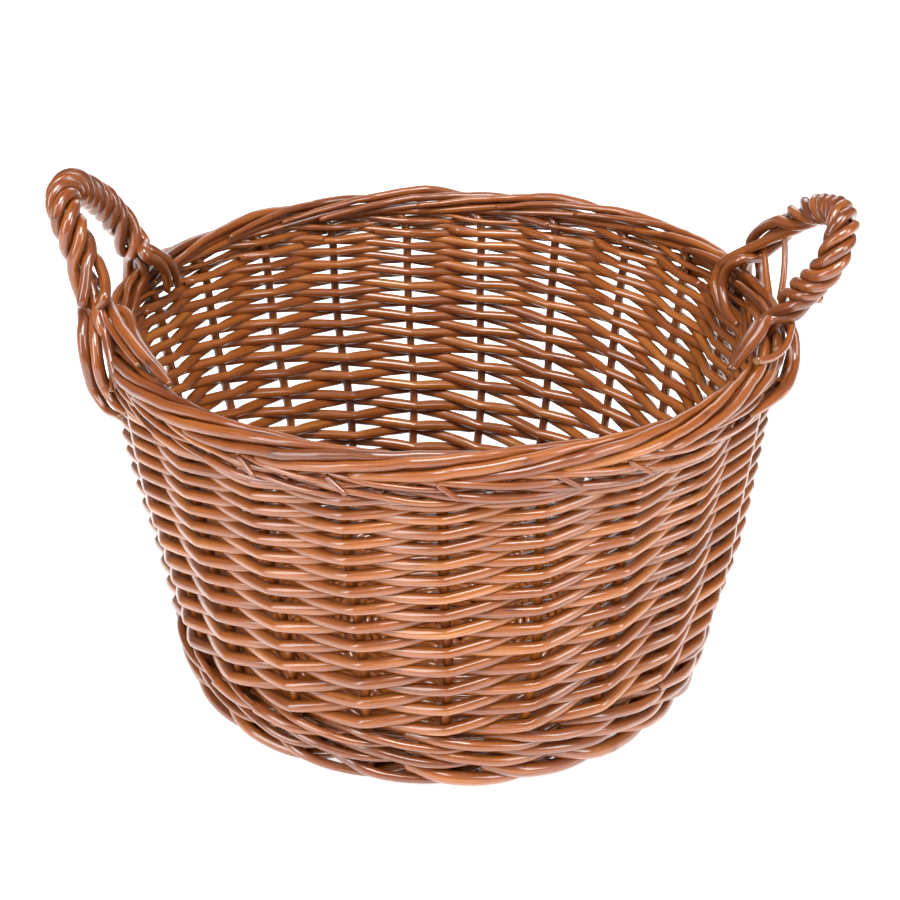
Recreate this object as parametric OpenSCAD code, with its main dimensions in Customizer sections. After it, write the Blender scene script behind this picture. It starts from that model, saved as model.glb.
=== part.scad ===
// Round log basket woven from varnished willow rods, with a rope handle at each side.
// Lengths are in millimetres and +Z is up. The basket stands on z = 0 with its axis on the Z axis.
// Angles round the basket start at the front (-Y) and grow towards +X, one bay being the gap
// between two neighbouring stakes.

/* [Whole basket] */
// Number of upright stakes, and of weaving rods
stake_count = 23; // [15:2:29]
// Radius of the wall's middle at the floor
wall_foot_radius = 161; // [120:0.5:200]
// Radius of the wall's middle under the border
wall_rim_radius = 201; // [150:0.5:240]
// Height at which the rim radius is reached
wall_height = 228; // [160:1:300]
// Outward swell of the wall at half its height
wall_swell = 3.7; // [0:0.1:8]

/* [Stakes] */
// Radius of a stake
stake_radius = 2.6; // [1.8:0.1:3.5]
// Distance from the axis at which a stake's buried end starts
stake_root = 98; // [60:1:130]
// Height of a stake inside the base
base_level = 6.8; // [5:0.1:12]

/* [Base] */
// Radius of the six base sticks
stick_radius = 4; // [3:0.1:5]
// Distance from the axis to the tip of a base stick
stick_reach = 148.5; // [120:1:150]
// Spacing of the parallel sticks where they cross
stick_spacing = 9; // [8.4:0.1:12]
// Distance from the axis at which the sticks fan out
stick_fan = 25; // [20:1:40]
// Radius at which the woven part of the base starts
base_inner = 29; // [26:1:45]
// Radius at which the woven part of the base ends
base_outer = 153; // [130:0.5:156]
// Thickness of the woven part of the base
base_weave_height = 11.2; // [9:0.1:11.4]

/* [Weave] */
// Height at which the weaving rods start
weave_start = 43; // [36:0.1:60]
// Number of bays that one weaving rod spans
weave_bays = 28; // [20:2:32]
// Height of one over-and-under pair of bays at the bottom
weave_pitch_low = 15.6; // [11:0.1:16]
// Height of one over-and-under pair of bays at the top
weave_pitch_high = 8.5; // [8:0.1:14]
// Radius of a weaving rod at its thick end
weaver_butt = 3.6; // [2.2:0.1:4]
// Radius of a weaving rod at its thin end
weaver_tip = 2.3; // [1.6:0.1:3.3]

/* [Wales] */
// Radius of the rods in the foot row
foot_rod = 3.8; // [2.5:0.1:4.2]
// Radius of the rods in the two lower wale rows
low_wale_rod = 3; // [2:0.1:3.4]
// Radius of the rods in the upper wale row
top_wale_rod = 1.6; // [1.2:0.1:2.2]
// Height of the first lower wale row
low_wale_level = 24.2; // [20:0.1:30]
// Height of the upper wale row
top_wale_level = 215.4; // [190:0.1:230]

/* [Border] */
// Height of the middle of the border
border_level = 234.6; // [220:0.1:250]
// Distance of each border rod from the middle of the border
border_roll = 7.2; // [5:0.1:9]
// Number of bays that a stake runs along the border
border_run = 4.6; // [3:0.1:5]

/* [Handles] */
// Distance in bays from the middle of the right and the left handle to its foot on the side of
// growing angles. The other foot is one bay from the middle.
handle_foot = [1, 1.4]; // [0.8:0.1:1.5]
// Height of the middle line above its feet, for the right and the left handle
handle_rise = [66, 75]; // [50:1:110]
// Outward lean at the top, for the right and the left handle
handle_lean = [38, 36]; // [0:1:60]
// Shift of the top along the rim, towards growing angles, for the right and the left handle
handle_slant = [-38, 5]; // [-40:1:40]
// Radius of the bow inside a handle
bow_radius = 3.2; // [2.5:0.1:4]
// Radius of a twisted handle rod
strand_radius = 2.8; // [1.8:0.1:2.9]
// Number of turns each twisted rod makes from foot to foot
strand_turns = 4; // [2:0.5:4]

/* [Hidden] */
$fn = 32;
bay = 360 / stake_count;
// Angle of the stake in the middle of the right handle. A foot one bay away straddles a stake.
side_angle = round(stake_count / 4) * bay;
// Space kept between rods that pass each other
slack = 0.8;
// Colours of the willow
dark_willow = [0.55, 0.30, 0.17];
mid_willow = [0.66, 0.40, 0.23];
pale_willow = [0.74, 0.48, 0.29];

// ---- helpers ----

// A vector made one unit long.
function unit(v) = v / norm(v);

// A point from its angle round the basket, distance from the axis and height.
function at(angle, radius, height) = [radius * sin(angle), -radius * cos(angle), height];

// Radius of the wall's middle at a height.
function wall(z) =
    wall_foot_radius + (wall_rim_radius - wall_foot_radius) * z / wall_height
    + 4 * wall_swell * (z / wall_height) * (1 - z / wall_height);

// The part of a vector square to a direction, one unit long.
function square_to(v, dir) = unit(v - (v * dir) * dir);

// Directions along a path, one for each of its points.
function headings(path) = [
    for (i = [0:len(path) - 1])
        unit(path[min(i + 1, len(path) - 1)] - path[max(i - 1, 0)])
];

// Side directions along a path: held to one direction, or carried from point to point.
function sides_of(dirs, first, carried) =
    carried
        ? [for (i = 0, v = square_to(first, dirs[0]); i < len(dirs);
               i = i + 1, v = i < len(dirs) ? square_to(v, dirs[i]) : v) v]
        : [for (d = dirs) square_to(first, d)];

// A rod along a path, its radius changing evenly from one end to the other.
module rod(path, radius_a, radius_b, first, carried = false, facets = 6) {
    dirs = headings(path);
    sides = sides_of(dirs, first, carried);
    last = len(path) - 1;
    points = [
        for (i = [0:last])
            let (
                u = sides[i],
                w = cross(dirs[i], u),
                r = radius_a + (radius_b - radius_a) * i / last
            )
            for (j = [0:facets - 1])
                let (a = 360 * (j + 0.5) / facets)
                path[i] + r * (cos(a) * u + sin(a) * w)
    ];
    skin = [
        for (i = [0:last - 1])
            for (j = [0:facets - 1])
                let (
                    a = i * facets + j,
                    b = i * facets + (j + 1) % facets
                )
                each [[a, a + facets, b + facets], [a, b + facets, b]]
    ];
    caps = [
        [for (j = [0:facets - 1]) j],
        [for (j = [facets - 1:-1:0]) last * facets + j]
    ];
    polyhedron(points, concat(skin, caps), convexity = 10);
}

// ---- stakes ----

// Path of a stake: out through the base, up the wall, then rolled along the border, up its outside
// and over to the inside.
function stake_path(k) =
    let (
        angle = k * bay,
        top = border_level - border_roll,
        run = [for (i = [0:7]) 0.3 + (border_run - 0.3) * i / 7]
    )
    concat(
        [at(angle, stake_root, base_level), at(angle, base_outer - 1, base_level)],
        [at(angle, wall_foot_radius - 2.2, base_level + 1.2)],
        [at(angle, wall_foot_radius + 2, base_level + 4.6)],
        [at(angle, wall_foot_radius + 4.2, base_level + 9.4)],
        [for (z = [24, 70, 116, 162, 208]) at(angle, wall(z), z)],
        [at(angle + 0.02 * bay, wall(top - 5), top - 4.6)],
        [at(angle + 0.07 * bay, wall(top) + 0.6, top - 0.8)],
        [at(angle + 0.14 * bay, wall_rim_radius + 1.2, top + 0.2)],
        [for (v = run) at(
            angle + v * bay,
            wall_rim_radius + border_roll * sin(turn_at(v)),
            border_level - border_roll * cos(turn_at(v))
        )]
    );

// Turn of a border rod round the border after a number of bays.
function turn_at(v) = 72 * v;

module stake(k) {
    color(mid_willow) rod(stake_path(k), stake_radius, stake_radius, at(k * bay + 90, 1, 0), true);
}

// ---- weaving rods ----

// Height gained after a number of over-and-under pairs.
function weave_rise(s) =
    s * (weave_pitch_low - (weave_pitch_low - weave_pitch_high) * s / weave_bays);

// Radius of a weaving rod after a number of bays.
function weaver_radius(i) = weaver_butt + (weaver_tip - weaver_butt) * i / weave_bays;

// Path of a weaving rod: behind a stake, in front of the next, rising to the right all the way.
function weaver_path(k) = [
    for (i = [0:weave_bays])
        let (
            over = i % 2 == 0 ? -1 : 1,
            past = i == 0 ? -0.2 : i == weave_bays ? 0.2 : 0,
            reach = (stake_radius + weaver_radius(i) + slack) * (1 + 2 * abs(past)),
            z = weave_start + weave_rise((i + past) / 2)
        )
        at((k + i + past) * bay, wall(z) + over * reach, z)
];

module weaver(k) {
    color(pale_willow) rod(weaver_path(k), weaver_butt, weaver_tip, [0, 0, 1]);
}

// ---- wales ----

// Across-the-stake and along-the-stake positions of a wale rod, at each half bay of its pattern:
// in front of two stakes, then behind one.
wale_across = [1, 1.4, 1, 0, -1, 0];
wale_along = [1, 0, -1, -1, 0, 1];

// Path of one of the three rods of a wale row. The row follows the stakes at a level, and tilt
// turns its front downwards.
function wale_path(q, radius, level, centre, tilt) =
    let (
        strokes = floor((stake_count - 1 - q) / 3),
        last = 6 * strokes + 4,
        reach = stake_radius + radius + slack
    )
    [
        for (i = [-1:last + 1])
            let (
                past = i > last ? 0.2 : i / 2,
                across = i > last ? -1.1 : wale_across[(i + 6) % 6],
                along = i > last ? 0.1 : wale_along[(i + 6) % 6],
                u = i > last ? last / 2 + past : past,
                x = across * reach,
                y = along * radius * 1.1
            )
            at(
                (q + u) * bay,
                centre + x * cos(tilt) + y * sin(tilt),
                level - x * sin(tilt) + y * cos(tilt)
            )
    ];

// One wale row: three rods that take turns to pass in front of two stakes and behind the next.
module wale_row(radius, level, centre, tilt) {
    for (q = [0:2])
        rod(wale_path(q, radius, level, centre, tilt), radius, radius, [0, 0, 1], facets = 5);
}

module foot_wale() {
    color(dark_willow) wale_row(foot_rod, base_level + 5.13, wall_foot_radius + 1, 48);
}

module lower_wale_1() {
    color(mid_willow) wale_row(low_wale_rod, low_wale_level, wall(low_wale_level), 0);
}

module lower_wale_2() {
    level = low_wale_level + 4.05 * low_wale_rod;
    color(mid_willow) wale_row(low_wale_rod, level, wall(level), 0);
}

module upper_wale() {
    color(pale_willow) wale_row(top_wale_rod, top_wale_level, wall(top_wale_level), 0);
}

// ---- base ----

// Angles of the twelve ends of the base sticks. Each end lies between two stakes, and the last
// one lies beside the odd stake.
function stick_angle(i) = (i < 11 ? 2 * i + 0.5 : 22.35) * bay;

// One of three base sticks side by side: a straight middle through the cross, and two ends that
// fan out. The middle stick of the three has place = 0, and the sticks beside it -1 and 1.
module base_stick(middle, place, extra) {
    dir = stick_angle(middle);
    side = at(dir + 90, place * stick_spacing, 0);
    rod(
        [
            at(stick_angle(middle + place), stick_reach + extra, base_level),
            at(dir, stick_fan, base_level) + side,
            at(dir + 180, stick_fan, base_level) + side,
            at(stick_angle(middle + 6 - place), stick_reach + extra, base_level)
        ],
        stick_radius + extra, stick_radius + extra, [0, 0, 1], facets = 8
    );
}

// The three sticks that are split in the middle, with the slit that the others pass through.
module base_sticks_pierced() {
    color(mid_willow)
        difference() {
            pierced_sticks(0);
            translate([0, 0, base_level])
                rotate([0, 0, stick_angle(4) - 90])
                    cube([60, 3 * stick_spacing + 0.4, 4], center = true);
        }
}

module pierced_sticks(extra) {
    for (place = [-1:1])
        base_stick(1, place, extra);
}

// The three sticks that pass through, pared flat where they lie in the slits.
module base_sticks_through() {
    color(mid_willow)
        difference() {
            through_sticks(0);
            for (side = [-1, 1])
                translate([0, 0, base_level + side * 6.8])
                    rotate([0, 0, stick_angle(1) - 90])
                        cube([200, 3 * stick_spacing + 0.4, 10], center = true);
        }
}

module through_sticks(extra) {
    for (place = [-1:1])
        base_stick(4, place, extra);
}

// The woven part of the base, as one flat ring with a socket for each stick and stake.
module base_weave() {
    color(pale_willow)
        difference() {
            translate([0, 0, base_level - base_weave_height / 2])
                cylinder(h = base_weave_height, r = base_outer);
            translate([0, 0, base_level - base_weave_height])
                cylinder(h = 2 * base_weave_height, r = base_inner);
            pierced_sticks(0.2);
            through_sticks(0.2);
            for (k = [0:stake_count - 1])
                rod(
                    [at(k * bay, stake_root - 2, base_level), at(k * bay, base_outer + 3, base_level)],
                    stake_radius + 0.2, stake_radius + 0.2, at(k * bay + 90, 1, 0)
                );
        }
}

// ---- handles ----

// Middle line of a handle from foot to foot, t = 0 to 1, towards growing angles. Both handles are
// built at the right, with h = 0 for the right one and h = 1 for the left one.
function handle_line(t, h) =
    let (
        start = at(foot_angle(-1, h), wall_rim_radius, 0),
        end = at(foot_angle(1, h), wall_rim_radius, 0),
        swing = sin(180 * t),
        foot_level = border_level + border_roll + stake_radius + bow_radius + 0.4
    )
    start + (end - start) * (1 - cos(180 * t)) / 2
    + at(side_angle, handle_lean[h] * swing, foot_level + handle_rise[h] * swing)
    + at(side_angle + 90, handle_slant[h] * swing, 0);

// Angle of a handle's first foot (side = -1) or last foot (side = 1).
function foot_angle(side, h) = side_angle + (side < 0 ? -1 : handle_foot[h]) * bay;

module bow(h) {
    color(dark_willow)
        rod(
            [for (i = [0:18]) handle_line(i / 18, h)],
            bow_radius, bow_radius, at(side_angle, 1, 0), true
        );
}

// The four twisted rods of a handle. At each foot two of them pass down outside the border and
// two inside it, and all four turn under it.
module wrap(h) {
    steps = 8 * strand_turns;
    color(mid_willow)
        for (n = [0:3])
            rod(
                concat(
                    strand_foot(n, -1, h),
                    [for (i = [1:steps - 1]) strand_point(i / steps, n, h)],
                    strand_foot(n, 1, h)
                ),
                strand_radius, strand_radius, at(side_angle + 90, 1, 0), true, facets = 5
            );
}

// A point on a twisted rod, at a fraction of the way from foot to foot.
function strand_point(t, n, h) =
    let (
        dir = unit(handle_line(t + 0.01, h) - handle_line(t - 0.01, h)),
        out = square_to(at(side_angle, 1, 0.2), dir),
        across = cross(dir, out),
        a = 360 * strand_turns * t + 30 + 90 * n
    )
    handle_line(t, h)
    + (bow_radius + strand_radius + slack) * (cos(a) * out + sin(a) * across);

// The end of a twisted rod: from beneath the border, round it and up to the handle, for the
// first foot (side = -1), or the reverse for the last foot (side = 1).
function strand_foot(n, side, h) =
    let (
        outer = n == 0 || n == 3,
        along = (stake_radius + strand_radius + slack) * [1.1, 2.1, -2.1, -1.1][n],
        angle = foot_angle(side, h),
        shift = -side * along,
        under = border_level - border_roll - stake_radius - strand_radius + 0.1,
        reach = border_roll + stake_radius + strand_radius + 0.5,
        flip = outer ? 1 : -1,
        steps = [
            [-0.55, under],
            [0.55, under],
            [0.92, under + 1.8],
            [1, under + 8],
            [1, border_level + 8]
        ],
        path = [
            for (s = steps)
                at(angle, wall_rim_radius + flip * reach * s[0], s[1])
                + shift * at(angle + 90, 1, 0)
        ]
    )
    side < 0 ? path : [for (i = [len(path) - 1:-1:0]) path[i]];

module handle_right_bow() {
    bow(0);
}

module handle_right_wrap() {
    wrap(0);
}

module handle_left_bow() {
    rotate([0, 0, (stake_count - 1) / 2 * bay]) bow(1);
}

module handle_left_wrap() {
    rotate([0, 0, (stake_count - 1) / 2 * bay]) wrap(1);
}

// ---- assembly ----

base_sticks_pierced();
base_sticks_through();
base_weave();
foot_wale();
lower_wale_1();
lower_wale_2();
upper_wale();
handle_right_bow();
handle_right_wrap();
handle_left_bow();
handle_left_wrap();
for (k = [0:stake_count - 1])
    stake(k);
for (k = [0:stake_count - 1])
    weaver(k);
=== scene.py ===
"""Round willow log basket, built rod by rod from swept, tapered, varnished willow."""

import math

import bpy
import numpy as np
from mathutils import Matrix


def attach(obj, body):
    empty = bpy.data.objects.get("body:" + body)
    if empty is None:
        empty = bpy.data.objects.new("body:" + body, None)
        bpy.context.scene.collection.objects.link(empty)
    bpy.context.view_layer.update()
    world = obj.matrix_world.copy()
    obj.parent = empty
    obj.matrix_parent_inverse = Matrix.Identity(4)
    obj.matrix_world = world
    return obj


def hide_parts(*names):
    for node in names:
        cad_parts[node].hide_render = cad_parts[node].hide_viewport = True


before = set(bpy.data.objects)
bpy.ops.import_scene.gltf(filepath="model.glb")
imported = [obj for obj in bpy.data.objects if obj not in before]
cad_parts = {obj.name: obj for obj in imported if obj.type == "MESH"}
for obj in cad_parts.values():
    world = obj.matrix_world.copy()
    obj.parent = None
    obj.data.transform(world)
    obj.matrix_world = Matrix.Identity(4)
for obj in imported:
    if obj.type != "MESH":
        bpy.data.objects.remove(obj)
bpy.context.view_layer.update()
rng = np.random.default_rng(23)

# ---------------------------------------------------------------- sizes, in millimetres
# The wall's shape repeats the CAD's. The rods are thicker here, the weave climbs a little faster
# and the border is a little higher.
MM = 0.001
STAKES = 23
BAY = 2 * math.pi / STAKES
WALL_FOOT, WALL_RIM, WALL_HEIGHT, WALL_SWELL = 161.0, 201.0, 228.0, 3.7
STAKE_R = 3.1
# Distance from the axis at which a stake starts in the base, and at which it begins to turn up.
STAKE_ROOT, STAKE_BEND = 98, 150.4
BASE_LEVEL = 6.8
WEAVE_START, WEAVE_BAYS, PITCH_LOW, PITCH_DROP = 41.2, 28, 17.2, 0.325
WEAVER_BUTT, WEAVER_TIP = 4.05, 3.05
BORDER_LEVEL, BORDER_ROLL, BORDER_RUN = 236.0, 6.7, 4.1
# Height at which a stake starts to lean out into the border.
LEAN_LEVEL = 224.5


def at(angle, radius, height):
    """Point(s) at an angle from the front, growing towards +X."""
    angle, radius, height = np.broadcast_arrays(angle, radius, height)
    return np.stack([radius * np.sin(angle), -radius * np.cos(angle), height], -1).astype(float)


def wall(z):
    """Radius of the wall's middle."""
    t = np.asarray(z) / WALL_HEIGHT
    return WALL_FOOT + (WALL_RIM - WALL_FOOT) * t + 4 * WALL_SWELL * t * (1 - t)


# ---------------------------------------------------------------- curves and tubes
def curve(points, spacing=3.0):
    """A smooth curve through points, sampled evenly."""
    p = np.asarray(points, float)
    p = np.vstack([2 * p[0] - p[1], p, 2 * p[-1] - p[-2]])
    out = []
    for i in range(1, len(p) - 2):
        a, b, c, d = p[i - 1 : i + 3]
        chord = np.linalg.norm(c - b)
        ab, cd = max(np.linalg.norm(b - a), 1e-6), max(np.linalg.norm(d - c), 1e-6)
        m0 = chord * ((b - a) / ab * chord + (c - b) / chord * ab) / (ab + chord)
        m1 = chord * ((c - b) / chord * cd + (d - c) / cd * chord) / (chord + cd)
        t = np.linspace(0, 1, max(3, int(chord / spacing) * 2 + 2))[:-1, None]
        out.append(
            (2 * t**3 - 3 * t**2 + 1) * b
            + (t**3 - 2 * t**2 + t) * m0
            + (3 * t**2 - 2 * t**3) * c
            + (t**3 - t**2) * m1
        )
    out = np.vstack(out + [p[-2][None]])
    return resample(out, spacing)


def resample(path, spacing):
    """The same path with evenly spaced points."""
    length = np.concatenate([[0], np.cumsum(np.linalg.norm(np.diff(path, axis=0), axis=1))])
    n = max(3, int(round(length[-1] / spacing)) + 1)
    s = np.linspace(0, length[-1], n)
    return np.stack([np.interp(s, length, path[:, i]) for i in range(3)], -1)


# Waves round the basket: how many, their shift per millimetre of height, and their weight.
WAVES = [(3, 0.011, 1.0), (5, 0.023, 0.7), (8, -0.017, 0.5), (11, 0.031, 0.35)]
PHASES = rng.uniform(0, 2 * math.pi, (3, len(WAVES)))
# How far the waves move a rod: outwards, round (radians) and upwards.
UNEVEN_OUT, UNEVEN_ROUND, UNEVEN_UP = 0.8, 0.0035, 0.55
# The lower wall stands towards +X: by how much, at which height and over what height.
SWAY, SWAY_LEVEL, SWAY_REACH = 3.0, 95, 45


def hand_made(path):
    """The small unevenness of a hand-woven basket, the same for all rods at one place."""
    x, y, z = path.T
    angle = np.arctan2(x, -y)
    radius = np.hypot(x, y)
    lift = np.clip(z / 60, 0, 1)
    moves = [
        sum(w * np.sin(k * angle + f * z + p) for (k, f, w), p in zip(WAVES, row)) for row in PHASES
    ]
    radius = radius + UNEVEN_OUT * moves[0] * np.clip(radius / 150, 0, 1)
    angle = angle + UNEVEN_ROUND * moves[1] * lift
    sway = SWAY * np.exp(-(((z - SWAY_LEVEL) / SWAY_REACH) ** 2))
    z = z + UNEVEN_UP * moves[2] * lift
    return at(angle, radius, z) + sway[:, None] * np.array([1.0, 0, 0])


# Knots: their swelling as a part of the rod's radius, their length along the rod and width round
# it (radians), and the distances to the first knot and from one to the next.
KNOT_SWELL, KNOT_LENGTH, KNOT_WIDTH = 0.12, 2.6, 0.55
FIRST_KNOT, NEXT_KNOT = (10, 90), (70, 240)
# Slant of the knife cut at a rod's ends.
END_CUT = 0.35


class Rod:
    """One willow rod: its middle line in millimetres and its radius at each point."""

    def __init__(self, path, radius_a, radius_b, uneven=True, sides=10, flat=None):
        path = hand_made(np.asarray(path, float)) if uneven else np.asarray(path, float)
        self.path = path
        n = len(path)
        t = np.linspace(0, 1, n)
        self.radius = radius_a + (radius_b - radius_a) * t
        self.sides = sides
        self.flat = flat
        self.tone = rng.normal(0, 1)
        self.start = rng.uniform(0, 50)
        self.turn = rng.uniform(0, 2 * math.pi)

    def mesh(self):
        """Points, side faces, end caps, grain coordinates and knots of the rod."""
        p = self.path
        n, m = len(p), self.sides
        d = np.gradient(p, axis=0)
        d /= np.linalg.norm(d, axis=1)[:, None]
        # directions square to the rod, carried along it without twist
        u = np.zeros_like(p)
        ref = np.array([0, 0, 1.0]) if abs(d[0][2]) < 0.9 else np.array([1.0, 0, 0])
        v = ref - ref @ d[0] * d[0]
        v /= np.linalg.norm(v)
        for i in range(n):
            v = v - v @ d[i] * d[i]
            v /= np.linalg.norm(v)
            u[i] = v
        w = np.cross(d, u)
        s = np.concatenate([[0], np.cumsum(np.linalg.norm(np.diff(p, axis=0), axis=1))])
        ang = self.turn + 2 * math.pi * np.arange(m) / m
        # knots: small swellings where twigs were cut off
        knot = np.zeros((n, m))
        bump = np.zeros((n, m))
        place = rng.uniform(*FIRST_KNOT)
        while place < s[-1]:
            side = rng.uniform(0, 2 * math.pi)
            da = np.angle(np.exp(1j * (ang - side)))
            along = np.exp(-(((s - place) / KNOT_LENGTH) ** 2))[:, None]
            near = along * np.exp(-((da / KNOT_WIDTH) ** 2))[None]
            knot = np.maximum(knot, near)
            bump += KNOT_SWELL * near
            place += rng.uniform(*NEXT_KNOT)
        wave = 1 + 0.035 * np.sin(s / 9 + self.start)[:, None] * np.cos(ang - s[:, None] / 40)
        wave = wave * (1 + 0.03 * np.sin(s / 23 + 2 * self.start)[:, None])
        r = self.radius[:, None] * (wave + bump)
        around = np.cos(ang)[:, None] * u[:, None] + np.sin(ang)[:, None] * w[:, None]
        offset = r[..., None] * around
        if self.flat is not None:
            offset[..., 2] *= self.flat(p)[:, None]
        ring = p[:, None] + offset
        # slanted knife cuts at the ends
        for row, slant in ((0, -END_CUT), (n - 1, END_CUT)):
            ring[row] += slant * (r[row] * np.cos(ang))[:, None] * d[row]
        verts = ring.reshape(-1, 3)
        along = np.repeat(s + 1000 * self.start, m)
        grain = np.stack([along, (r * np.cos(ang)).ravel(), (r * np.sin(ang)).ravel()], -1)
        i = np.arange(n - 1)[:, None] * m
        j = np.arange(m)[None]
        k = (j + 1) % m
        quads = np.stack([i + j, i + k, i + m + k, i + m + j], -1).reshape(-1, 4)
        caps = [np.arange(m)[::-1], (n - 1) * m + np.arange(m)]
        return verts, quads, caps, grain, knot.ravel()


def piece(name, rods, material, replaces=()):
    """One Blender object made of one or more rods."""
    verts, quads, caps, grain, knots, tones = [], [], [], [], [], []
    base = 0
    for rod in rods:
        v, q, c, g, k = rod.mesh()
        verts.append(v)
        quads.append(q + base)
        caps += [x + base for x in c]
        grain.append(g)
        knots.append(k)
        tones.append(np.full(len(v), rod.tone))
        base += len(v)
    verts = np.vstack(verts) * MM
    quads = np.vstack(quads)
    mesh = bpy.data.meshes.new(name)
    loops = np.concatenate([quads.ravel()] + caps)
    totals = np.concatenate([np.full(len(quads), 4), [len(c) for c in caps]])
    mesh.vertices.add(len(verts))
    mesh.vertices.foreach_set("co", verts.ravel())
    mesh.loops.add(len(loops))
    mesh.loops.foreach_set("vertex_index", loops)
    mesh.polygons.add(len(totals))
    starts = np.concatenate([[0], np.cumsum(totals)[:-1]])
    mesh.polygons.foreach_set("loop_start", starts)
    smooth = np.ones(len(totals), bool)
    smooth[len(quads) :] = False
    index = np.zeros(len(totals), int)
    index[len(quads) :] = 1
    mesh.polygons.foreach_set("material_index", index)
    mesh.polygons.foreach_set("use_smooth", smooth)
    mesh.update(calc_edges=True)
    mesh.attributes.new("grain", "FLOAT_VECTOR", "POINT").data.foreach_set(
        "vector", (np.vstack(grain) * MM).astype(np.float32).ravel()
    )
    mesh.attributes.new("knot", "FLOAT", "POINT").data.foreach_set("value", np.concatenate(knots))
    mesh.attributes.new("tone", "FLOAT", "POINT").data.foreach_set("value", np.concatenate(tones))
    mesh.materials.append(material)
    mesh.materials.append(cut_end)
    obj = bpy.data.objects.new(name, mesh)
    bpy.context.scene.collection.objects.link(obj)
    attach(obj, "root")
    if replaces:
        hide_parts(*replaces)
    return obj


# ---------------------------------------------------------------- materials
def nodes_of(name):
    """A new material with only a Principled shader."""
    mat = bpy.data.materials.new(name)
    mat.use_nodes = True
    tree = mat.node_tree
    tree.nodes.clear()
    out = tree.nodes.new("ShaderNodeOutputMaterial")
    bsdf = tree.nodes.new("ShaderNodeBsdfPrincipled")
    tree.links.new(bsdf.outputs["BSDF"], out.inputs["Surface"])
    return mat, tree, bsdf


def attribute(tree, name):
    node = tree.nodes.new("ShaderNodeAttribute")
    node.attribute_name = name
    return node


def stretched_noise(tree, vector, scale, detail, rough):
    mapping = tree.nodes.new("ShaderNodeMapping")
    mapping.inputs["Scale"].default_value = scale
    tree.links.new(vector, mapping.inputs["Vector"])
    noise = tree.nodes.new("ShaderNodeTexNoise")
    noise.inputs["Scale"].default_value = 1.0
    noise.inputs["Detail"].default_value = detail
    noise.inputs["Roughness"].default_value = rough
    tree.links.new(mapping.outputs["Vector"], noise.inputs["Vector"])
    return noise.outputs["Fac"]


def math_node(tree, op, a, b, clamp=False):
    node = tree.nodes.new("ShaderNodeMath")
    node.operation = op
    node.use_clamp = clamp
    for socket, value in zip(node.inputs, (a, b)):
        if isinstance(value, (int, float)):
            socket.default_value = value
        else:
            tree.links.new(value, socket)
    return node.outputs[0]


def ramp(tree, factor, stops):
    node = tree.nodes.new("ShaderNodeValToRGB")
    elements = node.color_ramp.elements
    while len(elements) < len(stops):
        elements.new(0.5)
    for element, (place, colour) in zip(elements, stops):
        element.position = place
        element.color = (*colour, 1)
    tree.links.new(factor, node.inputs["Fac"])
    return node.outputs["Color"]


# Willow from its darkest streaks to its palest.
WILLOW_COLOURS = [
    (0.0, (0.060, 0.013, 0.003)),
    (0.28, (0.150, 0.034, 0.006)),
    (0.52, (0.243, 0.063, 0.009)),
    (0.72, (0.330, 0.102, 0.016)),
    (1.0, (0.500, 0.225, 0.070)),
]


def willow(name, shift=0.0, coat=0.9):
    """Varnished buff willow: streaks along the rod, blotches, knots, and a clear glossy coat."""
    mat, tree, bsdf = nodes_of(name)
    grain = attribute(tree, "grain").outputs["Vector"]
    tone = attribute(tree, "tone").outputs["Fac"]
    knot = attribute(tree, "knot").outputs["Fac"]
    streak = stretched_noise(tree, grain, (22, 900, 900), 4.0, 0.6)
    blotch = stretched_noise(tree, grain, (9, 120, 120), 2.0, 0.5)
    fine = stretched_noise(tree, grain, (160, 3200, 3200), 3.0, 0.6)
    f = math_node(tree, "MULTIPLY_ADD", blotch, 0.7)
    f.node.inputs[2].default_value = shift - 0.26
    streaks = math_node(tree, "MULTIPLY", streak, 0.85)
    f = math_node(tree, "ADD", f, streaks)
    toned = math_node(tree, "MULTIPLY", tone, 0.06)
    f = math_node(tree, "ADD", f, toned)
    dark = math_node(tree, "MULTIPLY", knot, -0.4)
    f = math_node(tree, "ADD", f, dark, clamp=True)
    colour = ramp(tree, f, WILLOW_COLOURS)
    tree.links.new(colour, bsdf.inputs["Base Color"])
    rough = math_node(tree, "MULTIPLY_ADD", streak, 0.2)
    rough.node.inputs[2].default_value = 0.22
    tree.links.new(rough, bsdf.inputs["Roughness"])
    bsdf.inputs["Specular IOR Level"].default_value = 0.22
    bsdf.inputs["Coat Weight"].default_value = coat
    bsdf.inputs["Coat Roughness"].default_value = 0.14
    bsdf.inputs["Coat IOR"].default_value = 1.58
    bump = tree.nodes.new("ShaderNodeBump")
    bump.inputs["Strength"].default_value = 0.6
    bump.inputs["Distance"].default_value = 0.0004
    height = math_node(tree, "ADD", fine, streak)
    tree.links.new(height, bump.inputs["Height"])
    tree.links.new(bump.outputs["Normal"], bsdf.inputs["Normal"])
    return mat


def cut_wood(name):
    """A knife-cut rod end: pale wood with a darker pith and rim."""
    mat, tree, bsdf = nodes_of(name)
    grain = attribute(tree, "grain").outputs["Vector"]
    noise = stretched_noise(tree, grain, (60, 700, 700), 3.0, 0.6)
    colour = ramp(tree, noise, [(0.3, (0.16, 0.075, 0.035)), (0.7, (0.46, 0.27, 0.14))])
    tree.links.new(colour, bsdf.inputs["Base Color"])
    bsdf.inputs["Roughness"].default_value = 0.6
    return mat


weave_willow = willow("weave_willow")
stake_willow = willow("stake_willow", -0.1, 0.7)
wale_willow = willow("wale_willow", -0.09)
handle_willow = willow("handle_willow", -0.1)
base_willow = willow("base_willow", -0.08)
cut_end = cut_wood("cut_end")


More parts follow.
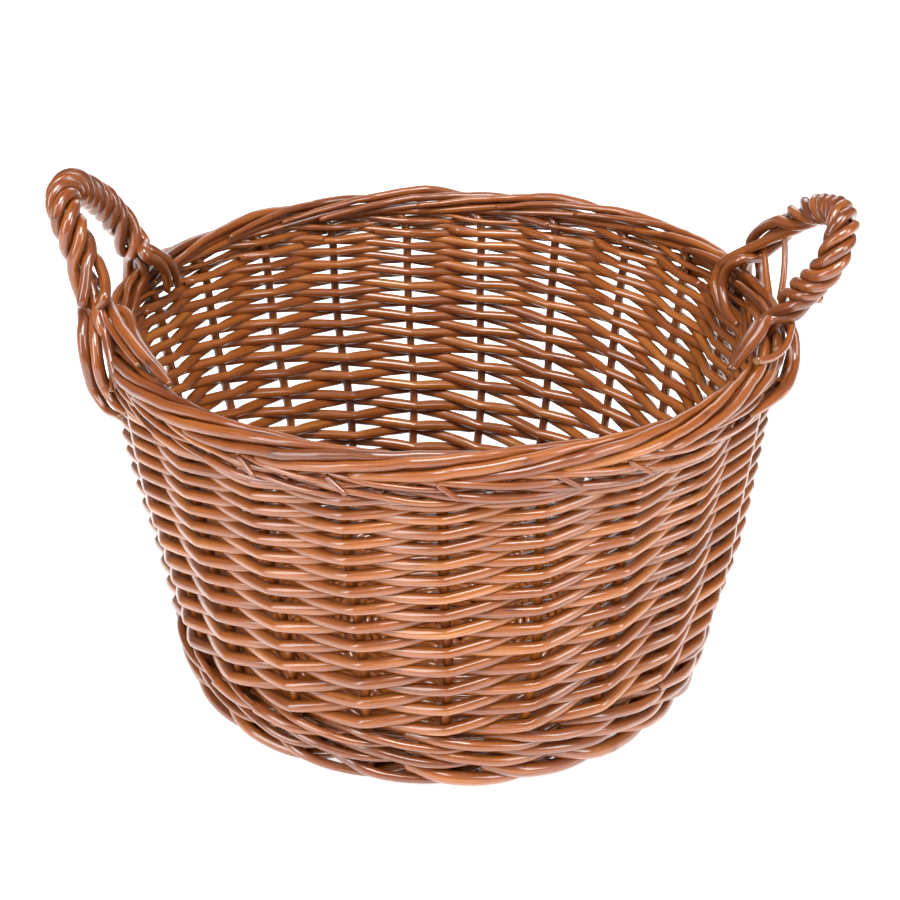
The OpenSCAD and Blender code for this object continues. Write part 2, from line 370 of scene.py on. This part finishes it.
# ---------------------------------------------------------------- stakes
# Extra height of a few border rods where they arch over the rim, and the middle and reach of an
# arch in bays.
ARCHES = {4: 1.2, 7: 2.5, 8: 4.5, 9: 1.0, 10: 6.0, 11: 1.5, 12: 3.2, 14: 3.4, 19: 1.4, 21: 1.0}
ARCH_MIDDLE, ARCH_REACH = 1.7, 0.65
# Where the rolled part of a border rod starts (in bays), and its turn there and for each bay
# (degrees).
ROLL_START, FIRST_TURN, TURN_PER_BAY = 0.3, 45, 58


def border_point(angle, v, roll, lift=0.0):
    """A border rod after v bays: low outside, up over the top, down the inside."""
    turn = math.radians(FIRST_TURN + TURN_PER_BAY * (v - ROLL_START))
    arch = lift * math.exp(-(((v - ARCH_MIDDLE) / ARCH_REACH) ** 2))
    return at(
        angle + v * BAY,
        WALL_RIM + roll * math.sin(turn),
        BORDER_LEVEL - roll * math.cos(turn) + arch,
    )


def stake_path(k):
    """Out through the base, up the wall, then along the border."""
    angle = k * BAY
    roll = BORDER_ROLL + rng.uniform(-0.5, 1.1)
    run = BORDER_RUN + rng.uniform(-0.7, 0.3)
    points = [
        at(angle, STAKE_ROOT, BASE_LEVEL),
        at(angle, 125, BASE_LEVEL),
        at(angle, STAKE_BEND, BASE_LEVEL),
        at(angle, WALL_FOOT - 2.2, BASE_LEVEL + 1.2),
        at(angle, WALL_FOOT + 2, BASE_LEVEL + 4.6),
        at(angle, WALL_FOOT + 4.2, BASE_LEVEL + 9.4),
    ]
    points += [at(angle, wall(z), z) for z in np.linspace(24, 217, 9)]
    points += [
        at(angle + 0.02 * BAY, WALL_RIM + 0.2, LEAN_LEVEL),
        at(angle + 0.07 * BAY, WALL_RIM + 2.4, LEAN_LEVEL + 4.1),
        at(angle + 0.16 * BAY, WALL_RIM + 4.4, LEAN_LEVEL + 6.1),
    ]
    turn = rng.uniform(-0.12, 0.12)
    points += [
        border_point(angle + turn * BAY * min(v, 1), v, roll, ARCHES.get(k, 0))
        for v in np.linspace(ROLL_START, run, 24)
    ]
    return curve(points, 2.5)


def wobble(path, size, wave=55.0):
    """Small bends of its own for one rod."""
    n = np.arange(len(path)) * np.linalg.norm(path[1] - path[0])
    move = np.zeros_like(path)
    for scale, part in ((1.0, 1.0), (0.55, 0.6), (0.3, 0.3)):
        for axis in range(3):
            phase = rng.uniform(0, 2 * math.pi)
            move[:, axis] += part * np.sin(2 * math.pi * n / (wave * scale) + phase)
    return path + size * move


for k in range(STAKES):
    path = stake_path(k)
    rod = Rod(path, STAKE_R, STAKE_R)
    # only the border part wobbles, and each rod thins towards its tip
    high = np.clip((path[:, 2] - 221) / 8, 0, 1)
    tip = np.clip((np.linspace(0, 1, len(path)) - 0.8) / 0.2, 0, 1)
    rod.radius = STAKE_R + high * rng.uniform(-0.15, 0.35) - 1.5 * tip
    share = high[:, None]
    rod.path = wobble(rod.path, 0.25) * share + rod.path * (1 - share)
    piece(f"stake_rod_{k}", [rod], stake_willow, [f"stake_{k}"])

# Three twisted rods that fill the border.
CORE_R, CORE_ROLL, CORE_TURNS = 2.3, 2.5, 7
around = np.linspace(0, 2 * math.pi, 420)
core = []
for n in range(3):
    a = around * CORE_TURNS + n * 2 * math.pi / 3
    path = at(around, WALL_RIM + CORE_ROLL * np.sin(a), BORDER_LEVEL - 0.3 - CORE_ROLL * np.cos(a))
    core.append(Rod(path, CORE_R, CORE_R, sides=8))
piece("border_core", core, wale_willow)


# ---------------------------------------------------------------- weaving rods
def weave_rise(s):
    """Height gained after a number of over-and-under pairs."""
    return s * (PITCH_LOW - PITCH_DROP * s)


def kinked(u, width=0.014):
    """Side-to-side position of a weaving rod: nearly straight runs, sharp bends at the stakes."""
    near = np.round(u)
    side = np.where(near % 2 == 0, -1.0, 1.0)
    d = np.abs(u - near)
    fall = (np.sqrt(d * d + width * width) - width) / (math.sqrt(0.25 + width * width) - width)
    return side * (1 - fall)


# Places of a weaving rod's points in bays, close together at each stake.
WEAVE_PLACES = np.arange(-1, WEAVE_BAYS + 2)[:, None] + np.array(
    [-0.42, -0.28, -0.15, -0.07, -0.03, -0.012, 0.012, 0.03, 0.07, 0.15, 0.28, 0.42]
)
WEAVE_PLACES = WEAVE_PLACES[(WEAVE_PLACES > -0.36) & (WEAVE_PLACES < WEAVE_BAYS + 0.45)]


def weaver_path(k):
    u = WEAVE_PLACES
    reach = STAKE_R + WEAVER_BUTT + (WEAVER_TIP - WEAVER_BUTT) * u / WEAVE_BAYS - 0.5
    z = WEAVE_START + weave_rise(u / 2)
    z = z + 0.22 * np.sin(u * 1.3 + rng.uniform(0, 6)) + 0.18 * np.sin(u * 0.45 + rng.uniform(0, 6))
    return at((k + u) * BAY, wall(z) + kinked(u) * reach, z)


for k in range(STAKES):
    butt = WEAVER_BUTT * rng.uniform(0.93, 1.06)
    rod = Rod(weaver_path(k), butt, WEAVER_TIP * rng.uniform(0.92, 1.06))
    rod.radius *= 1 - 0.13 * np.exp(-((WEAVE_PLACES - np.round(WEAVE_PLACES)) / 0.1) ** 2)
    piece(f"weaving_rod_{k}", [rod], weave_willow, [f"weaver_{k}"])


# ---------------------------------------------------------------- wales
# Half a bay apart: in front of the stakes (1) or behind (-1), and above (1) or below the middle.
ACROSS = [1, 1.25, 1, 0, -1, 0]
ALONG = [1, 0, -1, -1, 0, 1]


def wale_path(q, radius, level, centre, tilt):
    strokes = (STAKES - 1 - q) // 3
    last = 6 * strokes + 4
    reach = STAKE_R + radius
    points = []
    for i in range(-1, last + 2):
        u = i / 2 if i <= last else last / 2 + 0.35
        across = ACROSS[i % 6] if i <= last else -0.9
        along = ALONG[i % 6] if i <= last else 0.1
        x, y = across * reach, along * radius
        points.append(
            at(
                (q + u) * BAY,
                centre + x * math.cos(tilt) + y * math.sin(tilt),
                level - x * math.sin(tilt) + y * math.cos(tilt),
            )
        )
    return curve(points, 2.5)


def wale_row(name, node, radius, level, centre, joins, tilt=0.0, sides=10):
    """Three rods in turn; at each join the thin tip of one rod ends beside the butt of the next."""
    rods = []
    for q in range(3):
        path = wale_path(q, radius, level, centre, tilt)
        marks = [0.0] + [(j + q * 0.11) for j in joins] + [1.0]
        for a, b in zip(marks, marks[1:]):
            i, j = int(a * (len(path) - 1)), int(b * (len(path) - 1))
            part = path[max(i - 4, 0) : j + 1]
            rod = Rod(part, radius * 1.1, radius * 0.62, sides=sides, uneven=tilt == 0)
            rod.path = wobble(rod.path, 0.12 if tilt else 0.25, 80)
            rods.append(rod)
    piece(name, rods, wale_willow, [node] if node else ())


FOOT_ROW_RADIUS, FOOT_ROW_TILT = 162.6, math.radians(48)
wale_row("foot_row", "foot_wale", 4.2, BASE_LEVEL + 6.4, FOOT_ROW_RADIUS, (0.3, 0.62),
         FOOT_ROW_TILT, 12)
# Name, node, rod radius, level and joins (as parts of the way round) of the rows on the wall.
WALL_ROWS = [
    ("lower_row_1", "lower_wale_1", 3.4, 24.0, (0.24, 0.5, 0.77)),
    ("lower_row_2", "lower_wale_2", 3.3, 36.0, (0.16, 0.45, 0.7)),
    ("upper_row", "upper_wale", 2.4, 219.4, (0.35, 0.7)),
    ("rim_row", None, 2.4, 227.6, (0.2, 0.55)),
]
for name, node, radius, level, joins in WALL_ROWS:
    wale_row(name, node, radius, level, wall(level), joins)


# ---------------------------------------------------------------- base
# The woven base sits a little higher than in the CAD, so its rods clear the ground.
BASE_MIDDLE = BASE_LEVEL + 2.1
# Base sticks: distance between neighbours' middles, reach, where they have fanned out fully, and
# half the length of their straight middle.
STICK_SPACING, STICK_REACH, STICK_FAN, STICK_STRAIGHT = 9.0, 148.5, 90, 27
STICK_ENDS = 12


def stick_angle(i):
    """Angle of a stick's end, between two stakes."""
    return (2 * i + 0.5 if i < 11 else 22.35) * BAY


def base_stick(middle, place, pared):
    way = stick_angle(middle)
    side = at(way + math.pi / 2, place * STICK_SPACING, 0)
    start, end = stick_angle(middle + place), stick_angle(middle + 6 - place)
    points = [
        at(start, STICK_REACH, BASE_MIDDLE),
        at(start, STICK_FAN, BASE_MIDDLE),
        at(way, STICK_STRAIGHT, BASE_MIDDLE) + side,
        at(way, 12, BASE_MIDDLE) + side,
        at(way + math.pi, 12, BASE_MIDDLE) + side,
        at(way + math.pi, STICK_STRAIGHT, BASE_MIDDLE) + side,
        at(end, STICK_FAN, BASE_MIDDLE),
        at(end, STICK_REACH, BASE_MIDDLE),
    ]

    def flat(p):
        r = np.hypot(p[:, 0], p[:, 1])
        return np.where(r < 20, 0.5, 1.0)

    pare = flat if pared else None
    return Rod(curve(points, 3.0), 4.0, 3.9, sides=12, uneven=False, flat=pare)


piece("base_stick_pierced", [base_stick(1, p, False) for p in (-1, 0, 1)], base_willow,
      ["base_sticks_pierced"])
piece("base_stick_through", [base_stick(4, p, True) for p in (-1, 0, 1)], base_willow,
      ["base_sticks_through"])

STICK_ANGLES = np.array([stick_angle(i) for i in range(STICK_ENDS)])


def stick_phase(angle):
    """Grows by one from each base stick to the next."""
    turns = np.floor((angle - STICK_ANGLES[0]) / (2 * math.pi))
    rest = angle - turns * 2 * math.pi
    places = np.append(STICK_ANGLES, STICK_ANGLES[0] + 2 * math.pi)
    return turns * STICK_ENDS + np.interp(rest, places, np.arange(STICK_ENDS + 1))


def base_pair(sign, inner, outer, rows, radius, groups=False):
    """One of two rods that spiral outwards over and under the sticks, or over groups of three."""
    first = STICK_ANGLES[0]
    angle = np.linspace(first, first + rows * 2 * math.pi, int(rows * 132))
    phase = stick_phase(angle)
    if groups:
        phase = (phase - 1) / 3
    swing = np.cos(math.pi * phase)
    height = np.tanh(2.2 * swing) / math.tanh(2.2) * (3.7 + radius)
    away = np.sin(math.pi * phase) * radius * 0.5
    r = inner + (outer - inner) * (angle - angle[0]) / (angle[-1] - angle[0]) + sign * away
    return at(angle, r, BASE_MIDDLE + sign * height)


pairs = []
for sign in (-1, 1):
    spiral = resample(base_pair(sign, 30.5, 158.5, 24, 2.45), 4.0)
    pairs.append(Rod(spiral, 2.3, 2.55, sides=8, uneven=False))
    binding = resample(base_pair(sign, 18.5, 26.5, 2, 2.2, True), 3.0)
    pairs.append(Rod(binding, 2.1, 2.1, sides=8, uneven=False))
piece("base_weaving", pairs, base_willow, ["base_weave"])


# ---------------------------------------------------------------- handles
STRAND_R, BOW_R = 3.4, 3.2
# Height of the feet's line, and half the distance between a handle's feet.
FEET_LEVEL, HALF_SPAN = 241, 54
# Middle line of each handle in its leaning plane: along the rim (towards growing angles) and up.
# Twist: turns made by the rods up to a fraction of the length. Feet: angle in degrees, distance
# from the axis and height, from the rod's tip up to the handle (start) or down to its tip (end).
HANDLES = {
    "right": {
        "side": 6 * BAY,
        "lean": 27,
        "spread": [1, 0, 0, 1],
        "thick": 1.0,
        "line": [
            (-50, 5), (-62, 38), (-71, 63), (-63, 79), (-37, 82), (-4, 67), (20, 47), (37, 26),
            (46, 6),
        ],
        "twist": [(0, 0), (0.12, 0.4), (0.6, 3.3), (0.75, 3.75), (1, 4)],
        "start": [
            [
                (66, 205, 219), (72, 209.5, 218), (78, 213.5, 221), (81.5, 215, 230),
                (82.5, 213.5, 241), (82, 210, 251),
            ],
            [(64, 186, 238), (68, 187.5, 243), (73, 190, 247), (78, 195, 251)],
            [(60, 192.5, 244), (66, 194, 248.5), (72, 196.5, 251), (77, 200, 253.5)],
            [
                (59, 206, 219), (66, 212, 221), (73, 216, 222), (77.5, 217, 230), (79, 215, 241),
                (79.5, 211, 251),
            ],
        ],
        "end": [
            [(105, 211, 252), (107, 215, 242), (107, 216, 230), (104, 213, 221), (99, 208, 217)],
            [
                (103, 194, 257), (105.5, 189, 247), (106, 187.5, 235), (103, 187, 225),
                (98, 190, 219),
            ],
            [
                (106, 195, 256), (109, 190, 246), (109.5, 188, 234), (106.5, 187.5, 223),
                (101.5, 190, 217),
            ],
            [
                (108.5, 210, 252), (111, 214.5, 242), (111.5, 215.5, 230), (109, 212, 220),
                (104, 207, 216),
            ],
        ],
    },
    "left": {
        "side": 17 * BAY,
        "lean": 22,
        "spread": [2, 0.8, 1, 4],
        "thick": 1.12,
        "line": [
            (-38, 6), (-39, 28), (-31, 50), (-15, 70), (12, 85), (33, 84), (43, 71), (46, 53),
            (56, 32), (74, 14),
        ],
        "twist": [(0, 0), (0.2, 0.6), (0.6, 2.9), (0.8, 3.65), (1, 4)],
        "start": [
            [
                (-100, 207, 217), (-104, 213, 222), (-106.5, 215.5, 232), (-106.5, 213.5, 244),
                (-105, 209.5, 255),
            ],
            [(-109, 191, 228), (-107.5, 188.5, 241), (-104.5, 189.5, 254), (-101.5, 194, 263)],
            [(-113, 191, 226), (-111, 189, 240), (-107, 189.5, 254), (-103.5, 194, 264)],
            [
                (-104, 207, 216), (-108, 213, 221), (-110.5, 215.5, 231), (-110, 214, 243),
                (-107.5, 210, 254),
            ],
        ],
        "end": [
            [
                (-79, 219, 264), (-75, 222, 248), (-73.5, 221.5, 231), (-74, 219, 215),
                (-71.5, 214, 206), (-67, 208, 207),
            ],
            [(-77, 197, 259), (-71, 193, 251), (-64, 191, 247), (-57, 189.5, 243)],
            [(-73, 201, 258), (-67, 197.5, 253), (-60, 195.5, 249.5), (-53, 194, 245)],
            [
                (-77, 213, 259), (-73.5, 215.5, 246), (-71.5, 216, 233), (-71.5, 214, 221),
                (-69.5, 210, 213), (-65, 205, 212),
            ],
        ],
    },
}


def handle_plane(shape):
    """Middle of the feet and the two directions of a handle's leaning plane."""
    side, lean = shape["side"], math.radians(shape["lean"])
    first, last = at(side - BAY, WALL_RIM, FEET_LEVEL), at(side + BAY, WALL_RIM, FEET_LEVEL)
    along = (last - first) / np.linalg.norm(last - first)
    up = math.cos(lean) * np.array([0, 0, 1.0]) + math.sin(lean) * at(side, 1, 0)
    return (first + last) / 2, along, up


def handle_line(shape):
    middle, along, up = handle_plane(shape)
    points = [middle + a * along + b * up for a, b in shape["line"]]
    return curve(points, 1.0)


def on_line(line, t):
    place = np.linspace(0, 1, len(line))
    return np.stack([np.interp(t, place, line[:, i]) for i in range(3)], -1)


def twisted(shape, line, t, n):
    """A handle rod wound round the middle line."""
    mid = on_line(line, t)
    d = on_line(line, t + 0.02) - on_line(line, t - 0.02)
    d /= np.linalg.norm(d, axis=1)[:, None]
    out = at(shape["side"], 1, 0.2)
    out = out - (d @ out)[:, None] * d
    out /= np.linalg.norm(out, axis=1)[:, None]
    across = np.cross(d, out)
    turn = 2 * math.pi * np.interp(t, *zip(*shape["twist"])) + math.radians(17 + 90 * n)
    spread = np.interp(t, [0, 0.2, 0.75, 1], shape["spread"])
    roll = (BOW_R + STRAND_R - 0.3 + 0.5 * np.sin(9 * t + 2 * n) + spread)[:, None]
    return mid + roll * (np.cos(turn)[:, None] * out + np.sin(turn)[:, None] * across)


def foot_points(foot):
    """Points given by angle in degrees, distance from the axis and height."""
    return np.array([at(math.radians(a), r, z) for a, r, z in foot])


def handle(name):
    """A core rod with its ends inside the border, and four rods roped round it."""
    shape = HANDLES[name]
    line = handle_line(shape)
    feet = [shape["line"][0][0], shape["line"][-1][0]]
    start, end = [at(shape["side"] + BAY * a / HALF_SPAN, WALL_RIM, BORDER_LEVEL) for a in feet]
    core = Rod(curve(np.vstack([start, line[::12], end]), 2.5), BOW_R, BOW_R, uneven=False)
    piece(f"handle_{name}_core", [core], handle_willow, [f"handle_{name}_bow"])
    strands = []
    for n in range(4):
        mid = twisted(shape, line, np.linspace(0.085, 0.915, 50), n)
        path = np.vstack([foot_points(shape["start"][n]), mid, foot_points(shape["end"][n])])
        size = STRAND_R * shape["thick"] * rng.uniform(0.92, 1.1)
        rod = Rod(curve(path, 2.0), size, size * 0.94, uneven=False, sides=12)
        rod.path = wobble(rod.path, 0.2, 60)
        place = np.linspace(0, 1, len(rod.path))
        rod.radius *= np.interp(place, [0, 0.08, 0.92, 1], [0.55, 1, 1, 0.55])
        strands.append(rod)
    piece(f"handle_{name}_rope", strands, handle_willow, [f"handle_{name}_wrap"])


handle("right")
handle("left")

# Loose rod tips round the handles' feet: points as for the feet, and the radius of the rod.
LOOSE_ENDS = {
    "right": [
        ([(93, 211, 242), (94, 213, 255), (96.5, 215, 270), (98.8, 216, 284)], 2.3),
        ([(95, 206, 242), (99, 207, 253), (103, 209.5, 266)], 2.6),
        ([(79.5, 211, 263), (80, 221, 264), (80.6, 229.5, 264.5)], 3.9),
        ([(70, 208, 246), (75, 213.5, 240), (74.5, 214.5, 229), (69, 211, 219)], 1.8),
        ([(63, 203, 248), (67, 209, 246), (72, 213, 247), (77, 214, 252)], 2.4),
    ],
    "left": [
        ([(-104.5, 206, 270), (-105, 194, 260), (-106, 189, 247), (-107, 189, 232)], 1.8),
        (
            [(-81, 216, 283), (-79, 221, 264), (-77, 222.5, 246), (-77, 221, 228), (-74, 216, 212)],
            2.2,
        ),
        (
            [
                (-79.8, 213.5, 276), (-78, 213.5, 256), (-75.5, 214, 238), (-74.5, 212.5, 222),
                (-71, 208, 212),
            ],
            3.3,
        ),
        ([(-77.8, 211, 268), (-74, 209.5, 254), (-69.5, 209.5, 241), (-66, 209, 228)], 3.0),
        ([(-79, 212, 270), (-74.5, 207.5, 258), (-68, 203, 251), (-61, 201, 248)], 2.0),
    ],
}
for name, ends in LOOSE_ENDS.items():
    rods = [Rod(curve(foot_points(p), 2.0), r, r * 0.75, uneven=False) for p, r in ends]
    piece(f"handle_{name}_tips", rods, handle_willow)

# Cut ends that show under the border, and others at the foot.
stubs = []
for angle in (0.6, 18.5, 30, 71, 113, 160, 205, 242, 290, 329, 344):
    points = [(angle - 1.6, 207.5, 229.5), (angle, 209.5, 226), (angle + 1.8, 211.5, 222)]
    stubs.append(Rod(curve(foot_points(points), 2.0), 1.7, 1.5, sides=8))
piece("border_stubs", stubs, wale_willow)

butts = []
for angle in (-112, -61, -20, 13, 25, 58, 97, 150, 201):
    points = [(angle - 7, 163, 17), (angle - 3, 169.5, 18.5), (angle, 174, 20.5)]
    butts.append(Rod(curve(foot_points(points), 2.0), 2.7, 2.9, sides=10))
piece("foot_butts", butts, wale_willow)

# ---------------------------------------------------------------- camera, floor and light
middle = 0.1205
distance, rise = 1.258, math.radians(28.25)
camera_data = bpy.data.cameras.new("camera")
camera_data.lens = 77.2
camera_data.sensor_width = 36
camera_data.shift_x = 0.0069
camera_data.shift_y = 0.0339
camera = bpy.data.objects.new("camera", camera_data)
camera.location = (0, -distance * math.cos(rise), middle + distance * math.sin(rise))
camera.rotation_euler = (math.pi / 2 - rise, 0, 0)
bpy.context.scene.collection.objects.link(camera)
bpy.context.scene.camera = camera

FLOOR_REACH = 40
floor_mesh = bpy.data.meshes.new("floor")
corners = [(FLOOR_REACH * x, FLOOR_REACH * y, 0) for x, y in ((-1, -1), (1, -1), (1, 1), (-1, 1))]
floor_mesh.from_pydata(corners, [], [(0, 1, 2, 3)])
floor = bpy.data.objects.new("floor", floor_mesh)
bpy.context.scene.collection.objects.link(floor)
floor_mat, _, floor_bsdf = nodes_of("pale_floor")
floor_bsdf.inputs["Base Color"].default_value = (0.9, 0.9, 0.9, 1)
floor_bsdf.inputs["Roughness"].default_value = 0.9
floor_bsdf.inputs["Specular IOR Level"].default_value = 0.1
floor_bsdf.inputs["Emission Color"].default_value = (1, 1, 1, 1)
floor_bsdf.inputs["Emission Strength"].default_value = 0.72
floor_mesh.materials.append(floor_mat)


def area_light(name, place, target, size, power):
    """A rectangular lamp that faces its target; places and sizes in metres, power in watts."""
    data = bpy.data.lights.new(name, "AREA")
    data.shape = "RECTANGLE"
    data.size, data.size_y = size
    data.energy = power
    light = bpy.data.objects.new(name, data)
    light.location = place
    way = np.array(target, float) - np.array(place, float)
    yaw = math.atan2(way[1], way[0])
    light.rotation_euler = (math.acos(-way[2] / np.linalg.norm(way)), 0, yaw - math.pi / 2)
    bpy.context.scene.collection.objects.link(light)


area_light("key", (-1.6, -1.4, 1.3), (0, 0, 0.1), (0.8, 2.0), 45)
area_light("fill", (1.7, -1.2, 1.2), (0, 0, 0.1), (0.7, 1.3), 28)
area_light("top", (0.1, -0.9, 2.1), (0, 0, 0), (1.0, 1.0), 62)
area_light("back", (0.3, 2.2, 1.5), (0, 0, 0.1), (1.2, 1.2), 14)

world = bpy.data.worlds.new("studio")
world.use_nodes = True
background = world.node_tree.nodes["Background"]
background.inputs["Color"].default_value = (1.0, 1.0, 1.0, 1)
background.inputs["Strength"].default_value = 0.2
bpy.context.scene.world = world
bpy.context.scene.view_settings.view_transform = "Standard"
